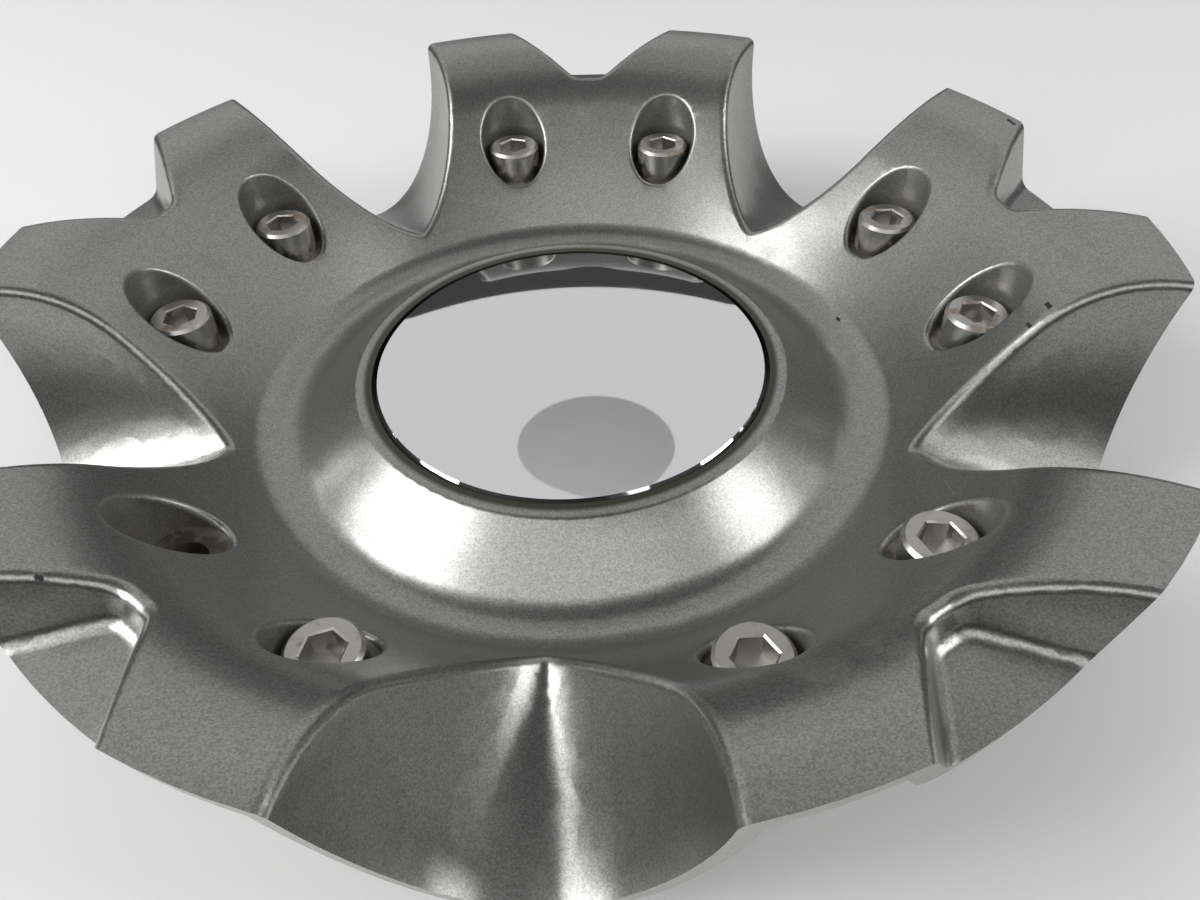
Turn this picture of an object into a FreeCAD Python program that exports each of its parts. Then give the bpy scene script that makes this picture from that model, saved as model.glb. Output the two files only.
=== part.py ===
import FreeCAD, Part
import math
import os

Vector = FreeCAD.Vector
axis_up = Vector(0, 0, 1)
origin = Vector(0, 0, 0)

# Driving dimensions, in millimetres and degrees.
# Five lobes, each with two spoke tips, two screws and one notch; a window between lobes.
lobe_count = 5
first_notch_angle = 90.0
wall = 3.0

# Socket-head screws, seated in pockets, with their ends standing out at the back.
screw_circle_radius = 65.8
screw_half_spread = 13.5
screw_length = 20.0
screw_radius = 3.0
screw_end_chamfer = 0.6
head_radius = 5.0
head_height = 6.0
head_chamfer = 0.5
socket_across_flats = 5.0
socket_sides = 6
socket_depth = 3.2
screw_hole_clearance = 0.3
empty_pocket = (3, -1)

# Screw pockets and the bosses that reach from them to the wheel.
pocket_radius = 6.2
pocket_edge_round = 0.8
boss_wall = 2.4
boss_length = 15.5

# Hub, with the mirror disc let into its face.
hub_face_above_seat = 0.5
hub_lip_radius = 35.0
hub_lip_round = 1.2
flank_angle = 38.0
disc_radius = 32.0
disc_clearance = 0.4
disc_edge_height = 2.6
disc_dome = 3.2
disc_edge_bevel = 0.5

# Dished face between the hub and the spoke tips.
crest_above_face = 19.0
crest_width = 1.2
shoulder_radius = 27.0
rise_angle = 45.0
valley_radius = 7.0

# Outer trim: a cone that draws in towards the back.
tip_radius = 90.2
rim_draft = 13.4

# Windows: scoops between the lobes, with half-ellipse sections on a sloping floor.
window_apex_radius = 55.2
window_overrun = 1.0
window_lead = 6.0
window_apex_half_width = 8.0
window_rim_half_width = 21.2
window_floor_slope = 17.7
window_edge_round = 1.5

# Notches: recesses between the two tips of a lobe, with a sloping floor and drafted walls.
notch_end_radius = 75.6
notch_end_half_width = 3.2
notch_side_angle = 41.0
notch_wall_draft = 20.0
notch_depth = 4.6
notch_floor_slope = 5.0
notch_corner_round = 4.2
notch_foot_round = 2.4
notch_edge_round = 1.5

# Modelling steps: points along a scoop section, sections of a scoop, contact tolerance.
bow_steps = 12
scoop_sections = 3
touch = 0.02

# Sizes that follow; the ends of the screws stand on z = 0.
shoulder_end_radius = tip_radius - crest_width
window_length = tip_radius + window_overrun - window_apex_radius
seat_z = screw_length
mount_z = seat_z - boss_length
face_z = seat_z + hub_face_above_seat
crest_z = face_z + crest_above_face
recess_floor_z = face_z - disc_edge_height
hub_under_z = recess_floor_z - wall
above_all = crest_z + shoulder_radius
below_all = -shoulder_radius
beyond_rim = tip_radius + shoulder_radius

lobe_pitch = 360.0 / lobe_count
notch_angles = [first_notch_angle - lobe_pitch * lobe for lobe in range(lobe_count)]
window_angles = [angle + lobe_pitch / 2 for angle in notch_angles]
screw_places = [(lobe, side) for lobe in range(lobe_count) for side in (1, -1)]


def sine(degrees):
    return math.sin(math.radians(degrees))


def cosine(degrees):
    return math.cos(math.radians(degrees))


def tangent(degrees):
    return math.tan(math.radians(degrees))


def polar(radius, angle, z):
    return Vector(radius * cosine(angle), radius * sine(angle), z)


def turned(shape, angle):
    copy = shape.copy()
    copy.rotate(origin, axis_up, angle)
    return copy


def screw_angle(place):
    lobe, side = place
    return notch_angles[lobe] + side * screw_half_spread


def column(place, radius, low, high):
    return Part.makeCylinder(radius, high - low, polar(screw_circle_radius, screw_angle(place), low))


def arc(start, middle, end):
    return Part.Arc(start, middle, end).toShape()


def line(start, end):
    return Part.LineSegment(start, end).toShape()


# Points of a radial section lie in the XZ plane.
def section_point(radius, z):
    return Vector(radius, 0, z)


def revolve(edges):
    return Part.Face(Part.Wire(edges)).revolve(origin, axis_up, 360)


flank_normal = section_point(sine(flank_angle), cosine(flank_angle))
rise_normal = section_point(-sine(rise_angle), cosine(rise_angle))
hub_edge = section_point(hub_lip_radius, face_z)
shoulder_centre = section_point(shoulder_end_radius, crest_z - shoulder_radius)


# Centre of the valley arc, which touches the hub flank and the rise.
def find_valley_centre():
    flank_start = hub_edge + flank_normal * valley_radius
    rise_start = shoulder_centre + rise_normal * (shoulder_radius + valley_radius)
    fall = tangent(flank_angle)
    climb = tangent(rise_angle)
    radius = flank_start.z - rise_start.z + fall * flank_start.x + climb * rise_start.x
    radius = radius / (fall + climb)
    return section_point(radius, flank_start.z - fall * (radius - flank_start.x))


valley_centre = find_valley_centre()


# Height of the dished face at a radius outside the valley.
def face_height(radius):
    rise_end = shoulder_centre + rise_normal * shoulder_radius
    if radius < rise_end.x:
        return rise_end.z - (rise_end.x - radius) * tangent(rise_angle)
    reach = min(0.0, radius - shoulder_centre.x)
    return shoulder_centre.z + math.sqrt(shoulder_radius ** 2 - reach ** 2)


# The dished face in section, moved inwards by inset: valley, rise, shoulder and flat crest.
def dish_edges(inset, crest_end_radius):
    valley = valley_radius + inset
    shoulder = shoulder_radius - inset
    half_turn = rise_angle / 2
    shoulder_normal = section_point(-sine(half_turn), cosine(half_turn))
    flank_end = valley_centre - flank_normal * valley
    valley_low = valley_centre - axis_up * valley
    rise_start = valley_centre - rise_normal * valley
    rise_end = shoulder_centre + rise_normal * shoulder
    shoulder_middle = shoulder_centre + shoulder_normal * shoulder
    shoulder_end = shoulder_centre + axis_up * shoulder
    crest_end = section_point(crest_end_radius, shoulder_end.z)
    edges = [
        arc(flank_end, valley_low, rise_start),
        line(rise_start, rise_end),
        arc(rise_end, shoulder_middle, shoulder_end),
        line(shoulder_end, crest_end),
    ]
    return edges, flank_end, crest_end


# The round blank: dished face on top, drafted rim, flat back.
def round_blank():
    dish, flank_end, crest_end = dish_edges(0, tip_radius)
    centre = section_point(0, face_z)
    rim_low = section_point(tip_radius - (crest_z - mount_z) * tangent(rim_draft), mount_z)
    back_centre = section_point(0, mount_z)
    edges = [line(centre, hub_edge), line(hub_edge, flank_end)] + dish
    edges += [line(crest_end, rim_low), line(rim_low, back_centre), line(back_centre, centre)]
    return revolve(edges)


# The hollow one wall below the face, open at the back and at the spoke ends.
def round_hollow():
    dish, flank_end, crest_end = dish_edges(wall, beyond_rim)
    flank_start = hub_edge - flank_normal * wall
    flank_run = (flank_start.z - hub_under_z) / tangent(flank_angle)
    under_edge = section_point(flank_start.x + flank_run, hub_under_z)
    under_centre = section_point(0, hub_under_z)
    back_edge = section_point(beyond_rim, below_all)
    back_centre = section_point(0, below_all)
    edges = [line(under_centre, under_edge), line(under_edge, flank_end)] + dish
    edges += [line(crest_end, back_edge), line(back_edge, back_centre), line(back_centre, under_centre)]
    return revolve(edges)


# One window scoop along +X, grown by one wall for the hollow under it.
# It starts inside the apex, above the face, and runs out through it.
def window_scoop(grow):
    sections = []
    for index in range(scoop_sections):
        run = (window_length + window_lead) * index / (scoop_sections - 1) - window_lead
        taper = (1 - run / window_length) ** 2
        half_width = window_rim_half_width - (window_rim_half_width - window_apex_half_width) * taper
        floor = face_height(window_apex_radius) - run * tangent(window_floor_slope)
        floor -= grow / cosine(window_floor_slope)
        sections.append(scoop_section(window_apex_radius + run, half_width + grow, floor))
    return Part.makeLoft(sections, True, False)


# A half-ellipse open upwards, from above the crest down to the floor.
def scoop_section(reach, half_width, floor):
    bow_top = crest_z + wall
    bow = []
    for step in range(bow_steps + 1):
        turn = 180.0 * step / bow_steps
        bow.append(Vector(reach, half_width * cosine(turn), bow_top - (bow_top - floor) * sine(turn)))
    bottom = Part.BSplineCurve()
    bottom.interpolate(bow)
    left_top = Vector(reach, half_width, above_all)
    right_top = Vector(reach, -half_width, above_all)
    return Part.Wire([
        bottom.toShape(),
        line(bow[-1], right_top),
        line(right_top, left_top),
        line(left_top, bow[0]),
    ])


# One notch recess along +X, grown by one wall for the hollow under it.
def notch_recess(grow):
    end_top = face_height(notch_end_radius)
    floor_z = end_top - notch_depth - grow
    outer_z = floor_z - (beyond_rim - notch_end_radius) * tangent(notch_floor_slope)

    def spread(z):
        return (z - end_top) * tangent(notch_wall_draft) + grow / cosine(notch_wall_draft)

    def half_width(reach, z):
        splay = (reach - notch_end_radius) * tangent(notch_side_angle)
        return notch_end_half_width + splay + spread(z) / cosine(notch_side_angle)

    def outline(inner_z, outer_z):
        inner = notch_end_radius - spread(inner_z)
        inner_half = half_width(inner, inner_z)
        outer_half = half_width(beyond_rim, outer_z)
        corners = [
            Vector(inner, -inner_half, inner_z),
            Vector(inner, inner_half, inner_z),
            Vector(beyond_rim, outer_half, outer_z),
            Vector(beyond_rim, -outer_half, outer_z),
        ]
        return Part.makePolygon(corners + corners[:1])

    recess = Part.makeLoft([outline(floor_z, outer_z), outline(above_all, above_all)], True, True)

    def on_end_wall(point):
        return abs(point.x - notch_end_radius + spread(point.z)) < touch

    def on_floor(point):
        floor = floor_z - (point.x - notch_end_radius + spread(floor_z)) * floor_fall
        return abs(point.z - floor) < touch and point.x < beyond_rim - touch

    floor_run = beyond_rim - notch_end_radius + spread(floor_z)
    floor_fall = (floor_z - outer_z) / floor_run
    corners = [edge for edge in recess.Edges if lies(edge, on_end_wall) and climbs(edge)]
    recess = recess.makeFillet(notch_corner_round + grow, corners)
    feet = [edge for edge in recess.Edges if lies(edge, on_floor)]
    return recess.makeFillet(notch_foot_round + grow, feet)


# An edge passes a test where its middle and two points near its ends do.
def lies(edge, test):
    first, last = edge.ParameterRange
    return all(test(edge.valueAt(first + (last - first) * share)) for share in (0.02, 0.5, 0.98))


def climbs(edge):
    first, last = edge.ParameterRange
    return abs(edge.valueAt(last).z - edge.valueAt(first).z) > touch


def on_face(point):
    radius = math.hypot(point.x, point.y)
    return radius < tip_radius - touch and abs(point.z - face_height(radius)) < touch


# Rings of the face itself are centred on the axis and stay as they are.
def is_ring(edge):
    curve = edge.Curve
    return isinstance(curve, Part.Circle) and math.hypot(curve.Center.x, curve.Center.y) < touch


# Rounds the edges that cuts have just left on the dished face.
def round_new_edges(shape, amount, before):
    old = [edge.CenterOfMass for edge in before.Edges]
    edges = []
    for edge in shape.Edges:
        if lies(edge, on_face) and not is_ring(edge):
            middle = edge.CenterOfMass
            if not any(middle.distanceToPoint(other) < touch for other in old):
                edges.append(edge)
    return shape.makeFillet(amount, edges)


def cut_and_round(shape, cutters, amount):
    return round_new_edges(shape.cut(cutters), amount, shape)


def make_cap_body():
    body = round_blank()
    windows = [turned(window_scoop(0), angle) for angle in window_angles]
    body = cut_and_round(body, windows, window_edge_round)
    notches = [turned(notch_recess(0), angle) for angle in notch_angles]
    body = cut_and_round(body, notches, notch_edge_round)
    pockets = [column(place, pocket_radius, seat_z, above_all) for place in screw_places]
    body = cut_and_round(body, pockets, pocket_edge_round)
    keep = [turned(window_scoop(wall), angle) for angle in window_angles]
    keep += [turned(notch_recess(wall), angle) for angle in notch_angles]
    keep += [column(place, pocket_radius + boss_wall, below_all, above_all) for place in screw_places]
    body = body.cut(round_hollow().cut(keep))
    hole_radius = screw_radius + screw_hole_clearance
    holes = [column(place, hole_radius, below_all, seat_z + touch) for place in screw_places]
    recess_depth = above_all - recess_floor_z
    recess = Part.makeCylinder(disc_radius + disc_clearance, recess_depth, Vector(0, 0, recess_floor_z))
    body = body.cut(holes + [recess])
    lip = [edge for edge in body.Edges if lies(edge, on_hub_lip)]
    return body.makeFillet(hub_lip_round, lip)


def on_hub_lip(point):
    return abs(point.z - face_z) < touch and abs(math.hypot(point.x, point.y) - hub_lip_radius) < touch


# The disc is a slice of a wide ball, standing on the floor of its recess.
def make_center_disc():
    ball_radius = (disc_radius ** 2 + disc_dome ** 2) / (2 * disc_dome)
    ball_centre = Vector(0, 0, face_z + disc_dome - ball_radius)
    blank_height = disc_edge_height + 2 * disc_dome
    blank = Part.makeCylinder(disc_radius, blank_height, Vector(0, 0, recess_floor_z))
    disc = blank.common(Part.makeSphere(ball_radius, ball_centre))

    def on_edge(point):
        return abs(point.z - face_z) < touch and abs(math.hypot(point.x, point.y) - disc_radius) < touch

    return disc.makeChamfer(disc_edge_bevel, [edge for edge in disc.Edges if lies(edge, on_edge)])


def make_screw():
    head_z = seat_z + head_height
    profile = [
        section_point(0, 0),
        section_point(screw_radius - screw_end_chamfer, 0),
        section_point(screw_radius, screw_end_chamfer),
        section_point(screw_radius, seat_z),
        section_point(head_radius, seat_z),
        section_point(head_radius, head_z - head_chamfer),
        section_point(head_radius - head_chamfer, head_z),
        section_point(0, head_z),
    ]
    screw = revolve(Part.makePolygon(profile + profile[:1]).Edges)
    side_angle = 360.0 / socket_sides
    corner_radius = socket_across_flats / 2 / cosine(side_angle / 2)
    socket_z = head_z - socket_depth
    corners = [polar(corner_radius, side_angle * corner, socket_z) for corner in range(socket_sides)]
    socket = Part.Face(Part.makePolygon(corners + corners[:1])).extrude(axis_up * head_height)
    return screw.cut(socket)


def make_socket_screws():
    screw = make_screw()
    screws = []
    for place in screw_places:
        if place != empty_pocket:
            copy = screw.copy()
            copy.translate(polar(screw_circle_radius, screw_angle(place), 0))
            screws.append(copy)
    return Part.makeCompound(screws)


pieces = {
    "cap_body": make_cap_body(),
    "center_disc": make_center_disc(),
    "socket_screws": make_socket_screws(),
}
os.makedirs("parts", exist_ok=True)
for name, shape in pieces.items():
    shape.exportStep("parts/" + name + ".step")
    print(name, shape.isValid(), len(shape.Solids), round(shape.Volume))
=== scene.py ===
import math

import bmesh
import bpy
from mathutils import Matrix, Vector
from mathutils.bvhtree import BVHTree


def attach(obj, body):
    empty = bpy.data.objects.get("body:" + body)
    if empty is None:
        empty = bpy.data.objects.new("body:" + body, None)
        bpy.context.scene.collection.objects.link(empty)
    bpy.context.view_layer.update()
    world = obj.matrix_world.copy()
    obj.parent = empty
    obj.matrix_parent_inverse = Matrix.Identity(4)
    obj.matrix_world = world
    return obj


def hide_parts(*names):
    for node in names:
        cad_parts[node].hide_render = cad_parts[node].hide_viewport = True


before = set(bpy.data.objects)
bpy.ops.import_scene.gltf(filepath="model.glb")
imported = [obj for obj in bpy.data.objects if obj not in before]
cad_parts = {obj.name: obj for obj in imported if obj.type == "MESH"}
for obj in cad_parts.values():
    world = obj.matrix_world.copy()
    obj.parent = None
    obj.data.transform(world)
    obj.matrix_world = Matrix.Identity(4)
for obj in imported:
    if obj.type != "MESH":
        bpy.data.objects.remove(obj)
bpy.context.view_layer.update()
print("frame loaded")

# The camera stands where the photograph was taken from; lengths are metres.
cameraValues = {
    "place": (0.013226, -0.127093, 0.122302),
    "right": (0.99868, 0.03885, -0.03364),
    "up": (-0.00271, 0.69347, 0.72048),
    "back": (0.05132, -0.71943, 0.69266),
    "focalPixels": 991.9,
    "width": 1200,
    "height": 900,
    "sensor": 36.0,
}


def plug(tree, value, socket):
    if isinstance(value, bpy.types.NodeSocket):
        tree.links.new(value, socket)
    else:
        socket.default_value = value


def addNode(tree, kind, **settings):
    node = tree.nodes.new(kind)
    for name, value in settings.items():
        setattr(node, name, value)
    return node


def scalar(tree, operation, first, second=0.0, clamp=False):
    node = addNode(tree, "ShaderNodeMath", operation=operation, use_clamp=clamp)
    plug(tree, first, node.inputs[0])
    plug(tree, second, node.inputs[1])
    return node.outputs[0]


def vector(tree, operation, first, second=(0, 0, 0), output="Vector"):
    node = addNode(tree, "ShaderNodeVectorMath", operation=operation)
    plug(tree, first, node.inputs[0])
    plug(tree, second, node.inputs[1])
    return node.outputs[output]


def scaled(tree, first, amount):
    node = addNode(tree, "ShaderNodeVectorMath", operation="SCALE")
    plug(tree, first, node.inputs[0])
    plug(tree, amount, node.inputs["Scale"])
    return node.outputs["Vector"]


def fade(tree, value, start, end, low=0.0, high=1.0):
    node = addNode(tree, "ShaderNodeMapRange", interpolation_type="SMOOTHSTEP")
    plug(tree, value, node.inputs["Value"])
    plug(tree, start, node.inputs["From Min"])
    plug(tree, end, node.inputs["From Max"])
    plug(tree, low, node.inputs["To Min"])
    plug(tree, high, node.inputs["To Max"])
    return node.outputs["Result"]


def mixColour(tree, factor, first, second):
    node = addNode(tree, "ShaderNodeMix", data_type="RGBA")
    plug(tree, factor, node.inputs[0])
    plug(tree, first, node.inputs[6])
    plug(tree, second, node.inputs[7])
    return node.outputs[2]


def mixValue(tree, factor, first, second):
    node = addNode(tree, "ShaderNodeMix", data_type="FLOAT")
    plug(tree, factor, node.inputs[0])
    plug(tree, first, node.inputs[2])
    plug(tree, second, node.inputs[3])
    return node.outputs[0]


def objectPlace(tree):
    return addNode(tree, "ShaderNodeTexCoord").outputs["Object"]


def startGroup(name, inputs, output):
    tree = bpy.data.node_groups.new(name, "ShaderNodeTree")
    for label, kind in inputs:
        tree.interface.new_socket(label, in_out="INPUT", socket_type=kind)
    tree.interface.new_socket(output, in_out="OUTPUT", socket_type="NodeSocketFloat")
    given = addNode(tree, "NodeGroupInput").outputs
    result = addNode(tree, "NodeGroupOutput").inputs[0]
    return tree, given, result


def useGroup(tree, group, **values):
    node = addNode(tree, "ShaderNodeGroup", node_tree=group)
    for label, value in values.items():
        plug(tree, value, node.inputs[label])
    return node.outputs[0]


def noise(tree, place, scale, detail):
    node = addNode(tree, "ShaderNodeTexNoise")
    tree.links.new(place, node.inputs["Vector"])
    plug(tree, scale, node.inputs["Scale"])
    plug(tree, detail, node.inputs["Detail"])
    return node.outputs[0]


# A mark along a line from Start to End, with a ragged edge.
def makeStrokeMask():
    inputs = [("Start", "NodeSocketVector"), ("End", "NodeSocketVector"), ("Width", "NodeSocketFloat")]
    tree, given, result = startGroup("strokeMask", inputs, "Mask")
    place = objectPlace(tree)
    fromStart = vector(tree, "SUBTRACT", place, given["Start"])
    along = vector(tree, "SUBTRACT", given["End"], given["Start"])
    reach = vector(tree, "DOT_PRODUCT", fromStart, along, "Value")
    length = vector(tree, "DOT_PRODUCT", along, along, "Value")
    share = scalar(tree, "DIVIDE", reach, length, True)
    aside = vector(tree, "SUBTRACT", fromStart, scaled(tree, along, share))
    distance = vector(tree, "LENGTH", aside, output="Value")
    ragged = fade(tree, noise(tree, place, 1400.0, 4.0), 0.2, 0.8, 0.45, 1.5)
    edge = scalar(tree, "MULTIPLY", given["Width"], ragged)
    tree.links.new(fade(tree, distance, edge, scalar(tree, "MULTIPLY", edge, 0.7)), result)
    return tree


# Patches of dirt or stain; Amount is the share of the surface that they cover.
def makeGrimeMask():
    inputs = [("Scale", "NodeSocketFloat"), ("Amount", "NodeSocketFloat")]
    tree, given, result = startGroup("grimeMask", inputs, "Mask")
    patches = noise(tree, objectPlace(tree), given["Scale"], 9.0)
    edge = scalar(tree, "SUBTRACT", 0.78, scalar(tree, "MULTIPLY", given["Amount"], 0.5))
    tree.links.new(fade(tree, patches, edge, scalar(tree, "ADD", edge, 0.16)), result)
    return tree


# Random grains, one value to a grain.
def makeFineGrain():
    tree, given, result = startGroup("fineGrain", [("Scale", "NodeSocketFloat")], "Grain")
    cells = addNode(tree, "ShaderNodeTexVoronoi")
    tree.links.new(objectPlace(tree), cells.inputs["Vector"])
    tree.links.new(given["Scale"], cells.inputs["Scale"])
    parts = addNode(tree, "ShaderNodeSeparateColor")
    tree.links.new(cells.outputs["Color"], parts.inputs[0])
    tree.links.new(parts.outputs[0], result)
    return tree


strokeMask = makeStrokeMask()
grimeMask = makeGrimeMask()
fineGrain = makeFineGrain()


def startMaterial(name):
    material = bpy.data.materials.new(name)
    material.use_nodes = True
    tree = material.node_tree
    return material, tree, tree.nodes["Principled BSDF"].inputs


def grainBump(tree, grain, strength, shader):
    bump = addNode(tree, "ShaderNodeBump")
    bump.inputs["Strength"].default_value = strength
    bump.inputs["Distance"].default_value = 0.0001
    tree.links.new(grain, bump.inputs["Height"])
    tree.links.new(bump.outputs["Normal"], shader["Normal"])


def placePiece(item, node, material):
    item.data.materials.clear()
    item.data.materials.append(material)
    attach(item, "root")
    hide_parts(node)


def addObject(name, data):
    item = bpy.data.objects.new(name, data)
    bpy.context.scene.collection.objects.link(item)
    return item


def bakeModifiers(item):
    bpy.context.view_layer.update()
    ready = item.evaluated_get(bpy.context.evaluated_depsgraph_get())
    data = bpy.data.meshes.new_from_object(ready)
    item.modifiers.clear()
    item.data = data


def smoothByAngle(shape, degrees):
    for face in shape.faces:
        face.smooth = True
    for edge in shape.edges:
        edge.smooth = len(edge.link_faces) == 2 and edge.calc_face_angle(0) < math.radians(degrees)


# Skins a row of rings; a ring of one point closes an end.
def skinRings(name, rings, degrees):
    shape = bmesh.new()
    rows = [[shape.verts.new(point) for point in ring] for ring in rings]
    for low, high in zip(rows, rows[1:]):
        count = max(len(low), len(high))
        for index in range(count):
            after = (index + 1) % count
            corners = [low[index % len(low)], low[after % len(low)]]
            corners += [high[after % len(high)], high[index % len(high)]]
            corners = list(dict.fromkeys(corners))
            if len(corners) > 2:
                shape.faces.new(corners)
    bmesh.ops.recalc_face_normals(shape, faces=shape.faces)
    smoothByAngle(shape, degrees)
    data = bpy.data.meshes.new(name)
    shape.to_mesh(data)
    shape.free()
    return data


# Cap body: the CAD form with even shading, in metallic paint, with painted shade round the centre disc
# and in the screw pockets.
bodyValues = {
    "sharpAngle": 38,
    "paint": (0.345, 0.35, 0.336, 1),
    "paintDark": (0.215, 0.219, 0.209, 1),
    "gapShadeColour": (0.05, 0.05, 0.038, 1),
    # Painted shade: near-black colour for the gap and lip round the centre disc.
    "dirtAndShadeColour": (0.05, 0.036, 0.024, 1),
    # Brown dirt and painted shade in the screw pockets, darker towards the pocket floor; also a faint
    # dirt haze over the body.
    "chipColour": (0.012, 0.012, 0.012, 1),
    "scratchColour": (0.6, 0.6, 0.58, 1),
    "flakeScale": 5200.0,
    "roughness": 0.31,
    "lipRadius": 0.0335,
    "pocketCircle": 0.0658,
    "pocketSpread": 13.5,
    "pocketRadius": 0.0062,
    "lobes": 5,
    # Marks are two points in the photograph's frame and a width.
    "chips": [
        ((837, 318), (839, 320), 0.0004),
        ((1047, 304), (1050, 307), 0.0004),
        ((1028, 324), (1030, 326), 0.00035),
        ((37, 577), (41, 579), 0.0004),
        ((1008, 120), (1014, 124), 0.0004),
    ],
    "scratches": [
        ((768, 466), (774, 476), 0.00008),
        ((945, 481), (955, 495), 0.00007),
        ((12, 504), (20, 507), 0.00008),
    ],
}


def makeBodyMesh():
    shape = bmesh.new()
    shape.from_mesh(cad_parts["cap_body"].data)
    bmesh.ops.remove_doubles(shape, verts=shape.verts, dist=0.000002)
    smoothByAngle(shape, bodyValues["sharpAngle"])
    data = bpy.data.meshes.new("capBody")
    shape.to_mesh(data)
    surface = BVHTree.FromBMesh(shape)
    shape.free()
    old = data.attributes.get("custom_normal")
    if old:
        data.attributes.remove(old)
    return data, surface


def markPlace(surface, pixel):
    right, up, back = (Vector(cameraValues[name]) for name in ("right", "up", "back"))
    across = (pixel[0] - cameraValues["width"] / 2) / cameraValues["focalPixels"]
    down = (pixel[1] - cameraValues["height"] / 2) / cameraValues["focalPixels"]
    ray = (right * across - up * down - back).normalized()
    hit = surface.ray_cast(Vector(cameraValues["place"]), ray)
    return hit[0] if hit[0] else Vector((0, 0, 1))


def markMask(tree, surface, marks):
    total = None
    for start, end, width in marks:
        ends = {"Start": markPlace(surface, start), "End": markPlace(surface, end), "Width": width}
        mask = useGroup(tree, strokeMask, **ends)
        total = mask if total is None else scalar(tree, "MAXIMUM", total, mask)
    return total


# One where the point is in a screw pocket; the lobes are folded onto half of one.
def pocketMask(tree, parts, radius):
    turn = scalar(tree, "ARCTAN2", parts[1], parts[0])
    turn = scalar(tree, "SUBTRACT", turn, math.radians(90))
    turn = scalar(tree, "PINGPONG", turn, math.pi / bodyValues["lobes"])
    turn = scalar(tree, "SUBTRACT", turn, math.radians(bodyValues["pocketSpread"]))
    aside = scalar(tree, "MULTIPLY", turn, radius)
    out = scalar(tree, "SUBTRACT", radius, bodyValues["pocketCircle"])
    asideSquare = scalar(tree, "MULTIPLY", aside, aside)
    outSquare = scalar(tree, "MULTIPLY", out, out)
    distance = scalar(tree, "SQRT", scalar(tree, "ADD", asideSquare, outSquare))
    return fade(tree, distance, bodyValues["pocketRadius"] * 1.12, bodyValues["pocketRadius"] * 0.93)


def makePaint(surface):
    material, tree, shader = startMaterial("metallicPaint")
    place = objectPlace(tree)
    split = addNode(tree, "ShaderNodeSeparateXYZ")
    tree.links.new(place, split.inputs[0])
    parts = split.outputs
    flat = vector(tree, "MULTIPLY", place, (1, 1, 0))
    radius = vector(tree, "LENGTH", flat, output="Value")
    grain = useGroup(tree, fineGrain, Scale=bodyValues["flakeScale"])
    colour = mixColour(tree, grain, bodyValues["paintDark"], bodyValues["paint"])
    # Painted shade: the recess wall and lip round the centre disc are coloured near black.
    gapShade = fade(tree, radius, bodyValues["lipRadius"] + 0.0006, bodyValues["lipRadius"] - 0.0004)
    colour = mixColour(tree, gapShade, colour, bodyValues["gapShadeColour"])
    # Brown dirt and painted shade in the screw pockets, darker towards the pocket floor and in patches; a
    # faint dirt haze over the rest.
    pocket = pocketMask(tree, parts, radius)
    stain = useGroup(tree, grimeMask, Scale=220.0, Amount=0.75)
    low = fade(tree, parts[2], 0.03, 0.0205, 0.45, 1.0)
    dirtAndShade = scalar(tree, "MULTIPLY", pocket, low)
    dirtAndShade = scalar(tree, "MULTIPLY", dirtAndShade, fade(tree, stain, 0.0, 1.0, 0.65, 1.0))
    haze = scalar(tree, "MULTIPLY", useGroup(tree, grimeMask, Scale=95.0, Amount=0.35), 0.12)
    dirtAndShade = scalar(tree, "MAXIMUM", dirtAndShade, haze)
    colour = mixColour(tree, dirtAndShade, colour, bodyValues["dirtAndShadeColour"])
    chip = markMask(tree, surface, bodyValues["chips"])
    colour = mixColour(tree, chip, colour, bodyValues["chipColour"])
    scratch = markMask(tree, surface, bodyValues["scratches"])
    colour = mixColour(tree, scalar(tree, "MULTIPLY", scratch, 0.6), colour, bodyValues["scratchColour"])
    tree.links.new(colour, shader["Base Color"])
    bare = scalar(tree, "MAXIMUM", dirtAndShade, chip)
    tree.links.new(mixValue(tree, bare, 0.92, 0.0), shader["Metallic"])
    tree.links.new(mixValue(tree, bare, bodyValues["roughness"], 0.75), shader["Roughness"])
    tree.links.new(mixValue(tree, bare, 0.3, 0.0), shader["Coat Weight"])
    shader["Coat Roughness"].default_value = 0.2
    grainBump(tree, grain, 0.07, shader)
    return material


bodyMesh, bodySurface = makeBodyMesh()
capBody = addObject("capBody", bodyMesh)
evenShading = capBody.modifiers.new("evenShading", "WEIGHTED_NORMAL")
evenShading.keep_sharp = True
bakeModifiers(capBody)
placePiece(capBody, "cap_body", makePaint(bodySurface))
print("cap body ready")

# Centre disc: a shallow dome with a bevelled edge, mirror polished.
discValues = {
    "radius": 0.032,
    "edgeHeight": 0.0205,
    "floorHeight": 0.0179,
    "dome": 0.0032,
    "bevel": 0.0005,
    "segments": 160,
    "domeRings": 24,
    "colour": (0.74, 0.74, 0.75, 1),
    "stainColour": (0.3, 0.27, 0.22, 1),
    "roughness": 0.035,
}


def circleRing(radius, height, segments):
    turns = [2 * math.pi * index / segments for index in range(segments)]
    return [(radius * math.cos(turn), radius * math.sin(turn), height) for turn in turns]


def makeDiscMesh():
    values = discValues
    ball = (values["radius"] ** 2 + values["dome"] ** 2) / (2 * values["dome"])
    centre = values["edgeHeight"] + values["dome"] - ball
    rings = [[(0, 0, values["floorHeight"])]]
    rings.append(circleRing(values["radius"], values["floorHeight"], values["segments"]))
    rings.append(circleRing(values["radius"], values["edgeHeight"] - values["bevel"], values["segments"]))
    for step in range(values["domeRings"]):
        radius = (values["radius"] - values["bevel"]) * (1 - step / values["domeRings"])
        height = centre + math.sqrt(ball ** 2 - radius ** 2)
        rings.append(circleRing(radius, height, values["segments"]))
    rings.append([(0, 0, values["edgeHeight"] + values["dome"])])
    return skinRings("centreDisc", rings, 20)


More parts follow.
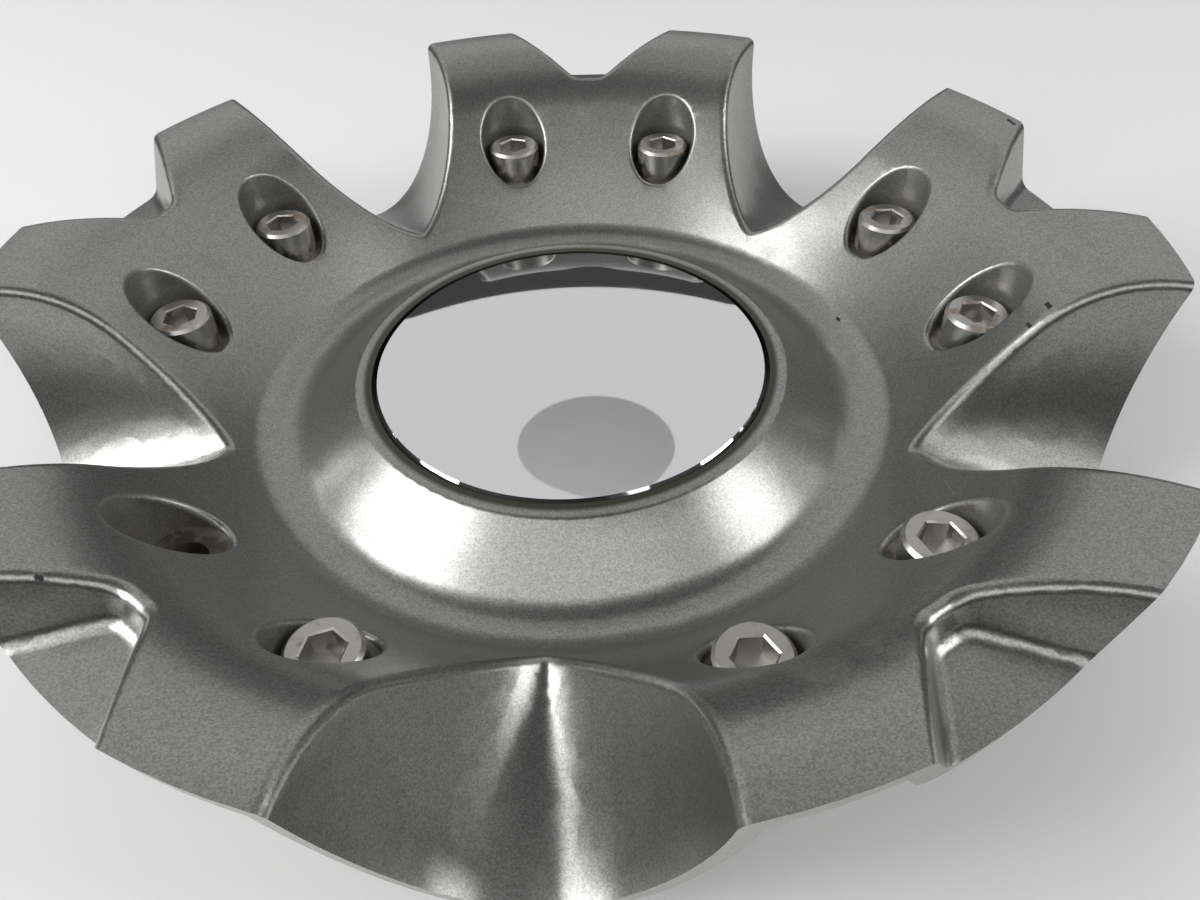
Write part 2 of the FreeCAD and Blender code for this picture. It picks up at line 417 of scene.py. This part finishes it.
def makeMirror():
    material, tree, shader = startMaterial("mirrorDisc")
    stain = scalar(tree, "MULTIPLY", useGroup(tree, grimeMask, Scale=70.0, Amount=0.3), 0.1)
    colour = mixColour(tree, stain, discValues["colour"], discValues["stainColour"])
    tree.links.new(colour, shader["Base Color"])
    tree.links.new(mixValue(tree, stain, discValues["roughness"], 0.5), shader["Roughness"])
    shader["Metallic"].default_value = 1.0
    return material


centreDisc = addObject("centreDisc", makeDiscMesh())
placePiece(centreDisc, "center_disc", makeMirror())
print("centre disc ready")

# Screws: one threaded socket-head screw, set in nine of the ten pockets.
screwValues = {
    "circle": 0.0658,
    "spread": 13.5,
    "firstNotch": 90.0,
    "empty": (3, -1),
    "segments": 48,
    "length": 0.02,
    "shankRadius": 0.003,
    "endBevel": 0.0006,
    "pitch": 0.001,
    "threadDepth": 0.00045,
    "threadLength": 0.0155,
    "stepsPerPitch": 6,
    "headRadius": 0.005,
    "headHeight": 0.006,
    "headBevel": 0.0005,
    "socketHalfWidth": 0.0025,
    "socketDepth": 0.0032,
    "socketBevel": 0.00025,
    "turnLimit": math.radians(60),
    "seed": 7,
    "colour": (0.45, 0.44, 0.42, 1),
    "stainColour": (0.16, 0.11, 0.07, 1),
    "roughness": 0.34,
}


def hexRing(halfWidth, height, segments):
    ring = []
    for index in range(segments):
        turn = 2 * math.pi * index / segments
        radius = halfWidth / math.cos(turn % (math.pi / 3) - math.pi / 6)
        ring.append((radius * math.cos(turn), radius * math.sin(turn), height))
    return ring


def threadRing(values, height):
    ring = []
    for index in range(values["segments"]):
        share = index / values["segments"]
        phase = (height / values["pitch"] - share) % 1
        radius = values["shankRadius"] - values["threadDepth"] * abs(2 * phase - 1)
        turn = 2 * math.pi * share
        ring.append((radius * math.cos(turn), radius * math.sin(turn), height))
    return ring


def makeScrewMesh():
    values = screwValues
    count = values["segments"]
    seat = values["length"]
    top = seat + values["headHeight"]
    rings = [[(0, 0, 0)], circleRing(values["shankRadius"] - values["endBevel"], 0, count)]
    step = values["pitch"] / values["stepsPerPitch"]
    height = values["endBevel"]
    while height < values["threadLength"]:
        rings.append(threadRing(values, height))
        height += step
    rings.append(circleRing(values["shankRadius"], height, count))
    rings.append(circleRing(values["shankRadius"], seat, count))
    rings.append(circleRing(values["headRadius"], seat, count))
    rings.append(circleRing(values["headRadius"], top - values["headBevel"], count))
    rings.append(circleRing(values["headRadius"] - values["headBevel"], top, count))
    rings.append(hexRing(values["socketHalfWidth"] + values["socketBevel"], top, count))
    rings.append(hexRing(values["socketHalfWidth"], top - values["socketBevel"], count))
    rings.append(hexRing(values["socketHalfWidth"], top - values["socketDepth"], count))
    rings.append([(0, 0, top - values["socketDepth"])])
    return skinRings("socketScrew", rings, 28)


def screwPlaces():
    places = []
    for lobe in range(bodyValues["lobes"]):
        for side in (1, -1):
            if (lobe, side) != screwValues["empty"]:
                degrees = screwValues["firstNotch"] - lobe * 360 / bodyValues["lobes"]
                turn = math.radians(degrees + side * screwValues["spread"])
                reach = screwValues["circle"]
                places.append((reach * math.cos(turn), reach * math.sin(turn), 0))
    return places


# Sets a copy of one object at each point, with its own turn about the vertical.
def makeScrewTree():
    tree = bpy.data.node_groups.new("screwPattern", "GeometryNodeTree")
    sockets = {}
    inputs = [
        ("Points", "NodeSocketGeometry"),
        ("Screw", "NodeSocketObject"),
        ("Turn Limit", "NodeSocketFloat"),
        ("Seed", "NodeSocketInt"),
        ("Material", "NodeSocketMaterial"),
    ]
    for label, kind in inputs:
        sockets[label] = tree.interface.new_socket(label, in_out="INPUT", socket_type=kind).identifier
    tree.interface.new_socket("Screws", in_out="OUTPUT", socket_type="NodeSocketGeometry")
    given = addNode(tree, "NodeGroupInput").outputs
    result = addNode(tree, "NodeGroupOutput").inputs[0]
    source = addNode(tree, "GeometryNodeObjectInfo")
    tree.links.new(given["Screw"], source.inputs["Object"])
    turn = addNode(tree, "FunctionNodeRandomValue", data_type="FLOAT")
    floats = [socket for socket in turn.inputs if socket.enabled]
    tree.links.new(given["Turn Limit"], floats[1])
    tree.links.new(given["Seed"], turn.inputs["Seed"])
    upright = addNode(tree, "ShaderNodeCombineXYZ")
    tree.links.new([socket for socket in turn.outputs if socket.enabled][0], upright.inputs["Z"])
    rotation = addNode(tree, "FunctionNodeEulerToRotation")
    tree.links.new(upright.outputs[0], rotation.inputs[0])
    copies = addNode(tree, "GeometryNodeInstanceOnPoints")
    tree.links.new(given["Points"], copies.inputs["Points"])
    tree.links.new(source.outputs["Geometry"], copies.inputs["Instance"])
    tree.links.new(rotation.outputs[0], copies.inputs["Rotation"])
    real = addNode(tree, "GeometryNodeRealizeInstances")
    tree.links.new(copies.outputs[0], real.inputs[0])
    painted = addNode(tree, "GeometryNodeSetMaterial")
    tree.links.new(real.outputs[0], painted.inputs["Geometry"])
    tree.links.new(given["Material"], painted.inputs["Material"])
    tree.links.new(painted.outputs[0], result)
    return tree, sockets


def makeSteel():
    material, tree, shader = startMaterial("screwSteel")
    stain = scalar(tree, "MULTIPLY", useGroup(tree, grimeMask, Scale=260.0, Amount=0.55), 0.75)
    colour = mixColour(tree, stain, screwValues["colour"], screwValues["stainColour"])
    tree.links.new(colour, shader["Base Color"])
    tree.links.new(mixValue(tree, stain, 1.0, 0.25), shader["Metallic"])
    tree.links.new(mixValue(tree, stain, screwValues["roughness"], 0.7), shader["Roughness"])
    grainBump(tree, useGroup(tree, fineGrain, Scale=3200.0), 0.1, shader)
    return material


def makeScrews(material):
    pattern = bpy.data.meshes.new("screwPlaces")
    pattern.from_pydata(screwPlaces(), [], [])
    screws = addObject("socketScrews", pattern)
    sample = addObject("screwSample", makeScrewMesh())
    tree, sockets = makeScrewTree()
    modifier = screws.modifiers.new("screwPattern", "NODES")
    modifier.node_group = tree
    modifier[sockets["Screw"]] = sample
    modifier[sockets["Turn Limit"]] = screwValues["turnLimit"]
    modifier[sockets["Seed"]] = screwValues["seed"]
    modifier[sockets["Material"]] = material
    bakeModifiers(screws)
    bpy.data.objects.remove(sample)
    return screws


steel = makeSteel()
placePiece(makeScrews(steel), "socket_screws", steel)
print("screws ready")

# Stage: a pale table that ends in front of the cap, soft windows and a dim room.
stageValues = {
    "tableWidth": 4.0,
    "tableFront": -0.27,
    "tableBack": 2.0,
    "tableColour": (0.76, 0.76, 0.755, 1),
    "roomColour": (0.06, 0.06, 0.062, 1),
    "cardColour": (0.75, 0.75, 0.75, 1),
    "darkColour": (0.012, 0.012, 0.012, 1),
    "darkDistance": 0.35,
    "darkHeights": (-0.4, 0.42),
    "groundEdge": -0.1,
    "cardPlace": (0, 0.55, 0.94),
    "cardRadius": 0.22,
    "aim": (0, 0, 0.02),
    "windows": [
        ("windowLeft", (-0.72, -0.2, 0.5), (0.5, 0.6), 7.5),
        ("windowRight", (0.75, -0.1, 0.42), (0.3, 0.5), 3.0),
    ],
    "ceilings": [
        ("ceilingBack", (0, 1.35, 1.0), (3.2, 2.1), 14.5),
        ("ceilingFront", (0, -0.95, 1.0), (2.4, 0.9), 11.0),
    ],
}


def addSheet(name, corners, colour, roughness):
    data = bpy.data.meshes.new(name)
    data.from_pydata(corners, [], [tuple(range(len(corners)))])
    material, tree, shader = startMaterial(name)
    shader["Base Color"].default_value = colour
    shader["Roughness"].default_value = roughness
    data.materials.append(material)
    addObject(name, data)


def addLamp(name, place, size, power, aim):
    lamp = bpy.data.lights.new(name, "AREA")
    lamp.shape = "RECTANGLE"
    lamp.size = size[0]
    lamp.size_y = size[1]
    lamp.energy = power
    item = addObject(name, lamp)
    item.location = place
    item.rotation_euler = aim.to_track_quat("-Z", "Y").to_euler()


def makeStage():
    half = stageValues["tableWidth"] / 2
    front = stageValues["tableFront"]
    back = stageValues["tableBack"]
    table = [(-half, front, 0), (half, front, 0), (half, back, 0), (-half, back, 0)]
    addSheet("table", table, stageValues["tableColour"], 0.6)
    wall = front - stageValues["darkDistance"]
    low, high = stageValues["darkHeights"]
    edge = stageValues["groundEdge"]
    dark = [(-half, wall, low), (half, wall, low), (half, wall, high), (-half, wall, high)]
    addSheet("darkRoom", dark, stageValues["darkColour"], 0.9)
    ground = [(-half, wall, low), (half, wall, low), (half, front, edge), (-half, front, edge)]
    addSheet("darkGround", ground, stageValues["darkColour"], 0.9)
    cardX, cardY, cardZ = stageValues["cardPlace"]
    card = [(x + cardX, y + cardY, cardZ) for x, y, z in circleRing(stageValues["cardRadius"], 0, 48)]
    addSheet("greyCard", card, stageValues["cardColour"], 0.9)
    for name, place, size, power in stageValues["windows"]:
        addLamp(name, place, size, power, Vector(stageValues["aim"]) - Vector(place))
    for name, place, size, power in stageValues["ceilings"]:
        addLamp(name, place, size, power, Vector((0, 0, -1)))
    room = bpy.data.worlds.new("room")
    room.use_nodes = True
    room.node_tree.nodes["Background"].inputs["Color"].default_value = stageValues["roomColour"]
    bpy.context.scene.world = room


def makeCamera():
    values = cameraValues
    data = bpy.data.cameras.new("camera")
    data.sensor_fit = "HORIZONTAL"
    data.sensor_width = values["sensor"]
    data.lens = values["focalPixels"] / values["width"] * values["sensor"]
    data.clip_start = 0.005
    camera = addObject("camera", data)
    columns = Matrix((values["right"], values["up"], values["back"])).transposed()
    camera.matrix_world = Matrix.Translation(values["place"]) @ columns.to_4x4()
    bpy.context.scene.camera = camera


makeStage()
makeCamera()
scene = bpy.context.scene
scene.render.engine = "CYCLES"
scene.cycles.samples = 90
scene.render.resolution_x = cameraValues["width"]
scene.render.resolution_y = cameraValues["height"]
scene.view_settings.view_transform = "Standard"
print("stage ready")
